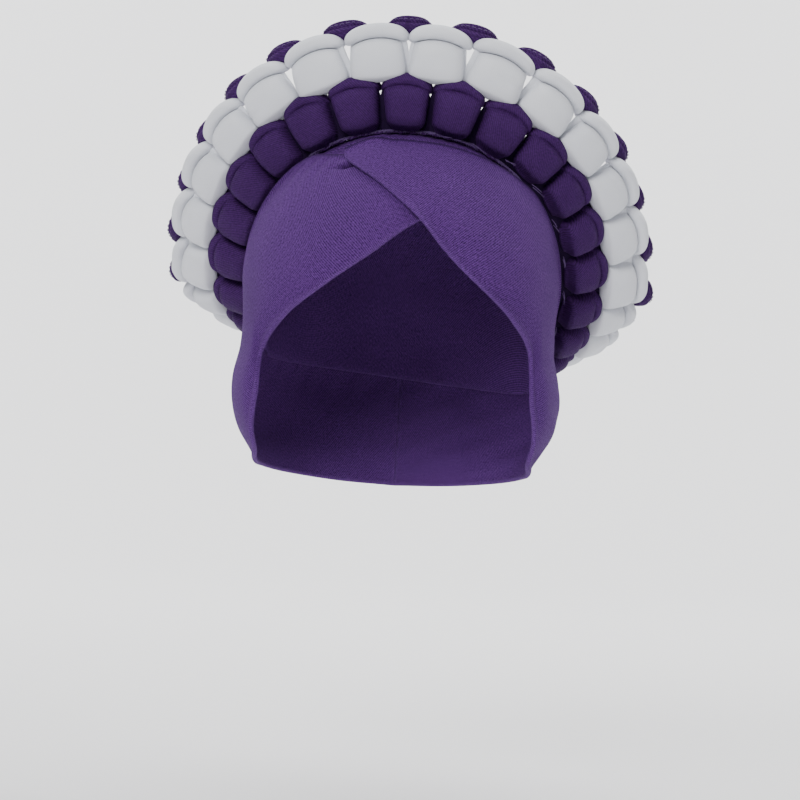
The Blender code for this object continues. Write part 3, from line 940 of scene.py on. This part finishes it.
def buildLoop(name, number, isMiddle, body, collar, rear, material, node):
    look = loopLook
    length = ringSizes["middleLength"] if isMiddle else ringSizes["innerLength"]
    start = ringSizes["innerLength"] - ringSizes["overlap"] if isMiddle else 0.0
    middleShare = (number + ringSizes["turn"] + 0.5 * isMiddle) / ringSizes["loops"]
    dice = np.random.default_rng(100 + number + 50 * isMiddle)
    wander = look["wander"]
    points, uvs, paintedShade, faces, first = [], [], [], [], 0
    tilt = dice.normal(0.0, look["tilt"])
    sideways = math.sin(math.tau * middleShare) ** 2
    lift = look["sideSeat"] * isMiddle * sideways
    if not isMiddle:
        lift = look["bareTape"] * ease(0.35, 0.95, math.sin(math.tau * middleShare))
    layers = (
        (pillowGrid(body, look["bodyArch"][isMiddle] + dice.normal(0.0, 0.01),
                    look["footArch"][isMiddle], lift), 0, 0.0),
        (collarGrid(collar, look["collarArch"][isMiddle] + dice.normal(0.0, 0.012)), 1, 0.0),
        (pillowGrid(rear, 0.1, 0.02), 2, dice.choice([-1.0, 1.0]) * look["backShift"]),
    )
    for (side, out, forward), layer, shift in layers:
        side = side * (1.0 + dice.normal(0.0, wander * 0.6)) + shift + dice.normal(0.0, 0.004)
        if layer == 2:
            fill = look["sideFill"] * sideways - look["frontGap"][isMiddle] * (1.0 - sideways)
            side = side * (1.0 + fill * ease(0.45, 0.75, out))
            out = out * (1.0 + look["sideReach"] * (not isMiddle) * sideways * ease(0.4, 0.9, out))
        out = out + tilt * side
        acrossMm, outMm = side * 27.0, out * length * 1000.0
        soft = ripple(acrossMm * 0.35, outMm * 0.35, 300 + number + 60 * layer)
        crease = bell(out + 0.5 * side**2 - 0.76, 0.06)
        pucker = np.sin(acrossMm * 1.7 + dice.uniform(0.0, 6.0) + 0.5 * np.sin(acrossMm * 0.7)) * crease
        sewn = np.sin(acrossMm * 2.1 + dice.uniform(0.0, 6.0)) * bell(out - 0.02, 0.07)
        swell = look["soft"][layer] * soft + look["pucker"][layer] * pucker + look["sewn"] * sewn
        if isMiddle and layer == 0 and number % 3 == 1:
            level = dice.uniform(0.25, 0.5) + 0.05 * np.sin(acrossMm * 0.16 + dice.uniform(0.0, 6.0))
            reach = ease(-9.0, 3.0, acrossMm * dice.choice([-1.0, 1.0]))
            swell = swell - look["crossCrease"] * reach * bell(out - level, 0.035)
        forward = forward * (1.0 + dice.normal(0.0, wander))
        forward = forward + swell * np.sign(forward) * ease(0.0, 0.15, np.abs(forward))
        share = middleShare + side / ringSizes["loops"]
        grid = haloPoint(share, start + out * length, forward * ringSizes["depth"])
        rings, columns = grid.shape[:2]
        block = np.concatenate([grid.reshape(-1, 3), grid[[0, -1]].mean(axis=1)])
        cloth = np.stack([acrossMm * 0.001 + 0.013 * number, outMm * 0.001 + 0.04 * layer], -1)
        uvs.append(np.concatenate([cloth.reshape(-1, 2), cloth[[0, -1]].mean(axis=1)]))
        # painted shade on the fronts of the purple rear layers, deep in the gaps
        shade = look["gapShade"] * (layer == 2 and not isMiddle) * ease(-0.1, -0.05, forward)
        paintedShade.append(np.concatenate([shade.ravel(), [0.0, 0.0]]))
        faces.extend(gridFaces(rings, columns, True, first))
        top, pole = first + (rings - 1) * columns, first + rings * columns
        for column in range(columns):
            right = (column + 1) % columns
            faces.append((pole, first + column, first + right))
            faces.append((pole + 1, top + right, top + column))
        points.append(block)
        first += len(block)
    item = makeMesh(name, np.concatenate(points), faces, material, np.concatenate(uvs), np.concatenate(paintedShade))
    hand(item, node)


for number in range(ringSizes["loops"]):
    buildLoop("innerLoop%02d" % (number + 1), number, False, innerBody, innerCollar,
              rearLayer, purpleLoopKnit, "inner_loop_%02d" % (number + 1))
    buildLoop("middleLoop%02d" % (number + 1), number, True, middleBody, middleCollar,
              whiteRearLayer, whiteLoopKnit, "middle_loop_%02d" % (number + 1))
print("loops built")


# Strand woven round the outer edge

strandLook = {
    "radius": 0.005,
    "sink": 0.0024,  # below the ends of the white loops
    "sideRise": 0.0012,
    "steps": 26,  # along one loop space
    "columns": 40,
    "lowRise": 0.005,  # more outward and to the face at both low ends
    "lowForward": 0.35,
    "pleats": (0.5, 0.98),  # angles round the strand
    "pleatDepth": 0.32,
    "pleatWidth": 0.12,
    "stitchAngle": 0.74,
    "stitchPitch": 0.06,  # in loop spaces
    "stitchRows": 0.9,  # length of a stitch, in steps
    "threadRadius": 0.00023,
}
# place, radius, above, behind
strandWave = (
    (-0.2, 0.84, 0.1, 1.3), (0.0, 1.06, 0.06, 0.8), (0.2, 0.84, 0.1, 1.3),
    (0.4, 0.48, -0.5, 1.9), (0.6, 0.48, -0.5, 1.9), (0.8, 0.84, 0.1, 1.3),
    (1.0, 1.06, 0.06, 0.8), (1.2, 0.84, 0.1, 1.3),
)


# Short stitches in a row along the pleats of each lens
def strandStitches(rails):
    look, rows, loops = strandLook, len(rails[0]), ringSizes["loops"]
    angle = look["stitchAngle"]
    lines = []
    for number in range(loops):
        for step in np.arange(-0.24, 0.25, look["stitchPitch"]):
            start = (number + step) % loops * look["steps"]
            row = start + np.linspace(0.0, 1.0, 5) * look["stitchRows"]
            low = np.floor(row).astype(int) % rows
            mix = (row - np.floor(row))[:, None]
            centre, outward, facing, radius = [
                values[low] * (1.0 - mix) + values[(low + 1) % rows] * mix for values in rails]
            lift = radius + 0.00022 * np.sin(np.linspace(0.0, math.pi, 5))[:, None]
            lines.append(centre + lift * (math.sin(angle) * outward + math.cos(angle) * facing))
    thread = threadTube("edgeStitches", lines, look["threadRadius"])
    hand(thread, None)


def buildStrand():
    look = strandLook
    loops, steps = ringSizes["loops"], look["steps"]
    line = ringSizes["innerLength"] - ringSizes["overlap"] + ringSizes["middleLength"] - look["sink"]
    places = np.arange(loops * steps) / steps
    radius, above, behind = sampleTable(strandWave, np.arange(steps) / steps).T
    radius, above, behind = [np.tile(values, loops) for values in (radius, above, behind)]
    radius = radius * look["radius"] * (1.0 + 0.03 * ripple(places * 2.0, 0.0, 41))
    share = (places + ringSizes["turn"]) / loops
    front = np.cos(math.tau * share)
    rise = look["sideRise"] * (1.0 - np.where(front > 0.0, 1.0, 0.4) * front**2)
    low = ease(0.22, -0.22, front) * ease(-0.85, -0.5, front)
    rise = rise + look["lowRise"] * low
    behind = behind * (1.0 - look["lowForward"] * low)
    centre = haloPoint(share, line + rise + above * look["radius"], -behind * look["radius"])
    tangent = unit(np.roll(centre, -1, axis=0) - np.roll(centre, 1, axis=0))
    outward = haloFrame(share)[1]
    outward = unit(outward - (outward * tangent).sum(-1, keepdims=True) * tangent)
    facing = np.cross(tangent, outward)
    facing = np.where(((facing * haloFrame(share)[2]).sum(-1) < 0.0)[:, None], -facing, facing)
    angles = np.linspace(0.0, math.tau, look["columns"], endpoint=False)
    profile = np.ones_like(angles)
    for pleat in look["pleats"]:
        gap = np.angle(np.exp(1j * (angles - pleat)))
        profile = profile - look["pleatDepth"] * bell(gap, look["pleatWidth"])
    fine = 1.0 + 0.012 * np.sin(places[:, None] * 60.0) * np.cos(angles * 3.0)
    reach = radius[:, None] * profile * fine
    points = centre[:, None] + reach[..., None] * roundAbout(angles, facing, outward)
    uvs = np.stack(np.broadcast_arrays(places[:, None] * 0.03, angles * 0.005), -1)
    faces = gridFaces(len(places), look["columns"], True, closedDown=True)
    item = makeMesh("edgeStrand", points, faces, purpleLoopKnit, uvs)
    hand(item, "edge_strand")
    strandStitches((centre, outward, facing, radius[:, None]))
    return item


edgeStrand = buildStrand()
print("strand built")


# Pale floor and backdrop in one sweep, soft light and the camera

stageLook = {
    "floor": -0.36,
    "front": -2.2,
    "wall": 2.4,
    "height": 3.2,
    "halfWidth": 3.4,
    "bend": 0.6,
    "paint": ((0.86, 0.86, 0.87), (0.89, 0.89, 0.9)),
    "rough": 0.9,
    "sky": (0.93, 0.94, 0.96),
    "skyPower": 0.2,
}


def buildStage():
    floor, wall, bend = stageLook["floor"], stageLook["wall"], stageLook["bend"]
    profile = [(stageLook["front"], floor)]
    for step in range(13):
        angle = math.pi / 2.0 * step / 12.0
        profile.append((wall - bend + bend * math.sin(angle), floor + bend - bend * math.cos(angle)))
    profile.append((wall, stageLook["height"]))
    points = np.array([[(side * stageLook["halfWidth"], y, z) for side in (-1.0, 1.0)] for y, z in profile])
    material, tree, shader = newMaterial("paleSweep")
    feed(shader.inputs["Base Color"], mixColour(tree, noise(tree, None, 3.0, 2.0), *stageLook["paint"]))
    feed(shader.inputs["Roughness"], stageLook["rough"])
    item = makeMesh("paleSweep", points, gridFaces(len(profile), 2, False), material, closed=False)


buildStage()

# place, target, size, power
lamps = {
    "frontSoft": ((-0.55, -1.8, 0.85), (0.0, 0.0, -0.1), 1.0, 36.0),
    "topSoft": ((0.0, -0.1, 1.15), (0.0, 0.0, -0.1), 1.0, 9.0),
    "rightSoft": ((1.6, -0.9, 0.2), (0.0, 0.0, -0.1), 1.0, 5.0),
    "wallLeft": ((-1.5, 0.9, 1.3), (-0.3, 2.4, 0.1), 1.0, 60.0),
    "wallRight": ((1.5, 0.9, 1.3), (0.3, 2.4, 0.1), 1.0, 60.0),
}
for lampName, (place, target, size, power) in lamps.items():
    light = bpy.data.lights.new(lampName, "AREA")
    light.energy = power
    light.shape = "DISK"
    light.size = size
    item = addObject(lampName, light)
    item.location = place
    gap = np.array(target) - np.array(place)
    rise = math.atan2(gap[2], math.hypot(gap[0], gap[1]))
    item.rotation_euler = (math.pi / 2.0 + rise, 0.0, math.atan2(-gap[0], gap[1]))

world = bpy.data.worlds.new("studio")
world.use_nodes = True
background = world.node_tree.nodes["Background"]
feed(background.inputs["Color"], stageLook["sky"])
feed(background.inputs["Strength"], stageLook["skyPower"])
bpy.context.scene.world = world

cameraLook = {
    "distance": 1.3,
    "azimuth": math.radians(1.5),
    "roll": math.radians(3.0),
    "across": 0.0013,
    "height": -0.1394,
    "lens": 114.1,
}
cameraData = bpy.data.cameras.new("photoView")
cameraData.lens = cameraLook["lens"]
cameraData.sensor_width = 36.0
camera = addObject("photoView", cameraData)
distance, azimuth = cameraLook["distance"], cameraLook["azimuth"]
camera.location = (cameraLook["across"] + distance * math.sin(azimuth), -distance * math.cos(azimuth),
                   cameraLook["height"])
camera.rotation_mode = "QUATERNION"
camera.rotation_quaternion = (
    Matrix.Rotation(azimuth, 3, "Z")
    @ Matrix.Rotation(math.pi / 2.0, 3, "X")
    @ Matrix.Rotation(cameraLook["roll"], 3, "Z")
).to_quaternion()
bpy.context.scene.camera = camera
print("stage lit")
